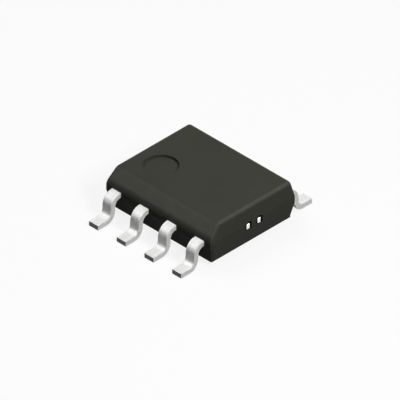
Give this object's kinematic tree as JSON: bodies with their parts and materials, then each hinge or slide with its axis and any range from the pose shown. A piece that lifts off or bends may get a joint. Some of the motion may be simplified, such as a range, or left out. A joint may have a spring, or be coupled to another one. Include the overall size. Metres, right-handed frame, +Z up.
{
  "type": "small-outline integrated circuit",
  "caption": "Small black moulded chip package with a bevelled side, a round recess at its first lead and gull-wing leads along both long sides.",
  "frame": {"origin": "on the seating plane, under the middle of the body and of the eight feet", "axes": "+Z up from the circuit board, X across the two rows of leads, Y along them; lead 1 is at -X +Y, 1 to 4 run down the -X side and 5 to 8 back up the +X side"},
  "size_m": [0.006, 0.005, 0.0016],
  "materials": {
    "moulding_compound": "moulded, fine spark-eroded matt",
    "tinned_lead": "matt tin plate over copper alloy",
    "leadframe": "spot silver plate on copper alloy",
    "silver_epoxy": "cured silver-filled adhesive",
    "silicon": "passivated silicon",
    "gold_wire": "drawn gold"
  },
  "bodies": {
    "root": {"mould_body": "moulding_compound", "die_pad": "leadframe", "die_attach": "silver_epoxy", "die": "silicon", "lead_1": "tinned_lead", "lead_2": "tinned_lead", "lead_3": "tinned_lead", "lead_4": "tinned_lead", "lead_5": "tinned_lead", "lead_6": "tinned_lead", "lead_7": "tinned_lead", "lead_8": "tinned_lead", "bond_wire_1": "gold_wire", "bond_wire_2": "gold_wire", "bond_wire_3": "gold_wire", "bond_wire_4": "gold_wire", "bond_wire_5": "gold_wire", "bond_wire_6": "gold_wire", "bond_wire_7": "gold_wire", "bond_wire_8": "gold_wire"}
  },
  "joints": []
}
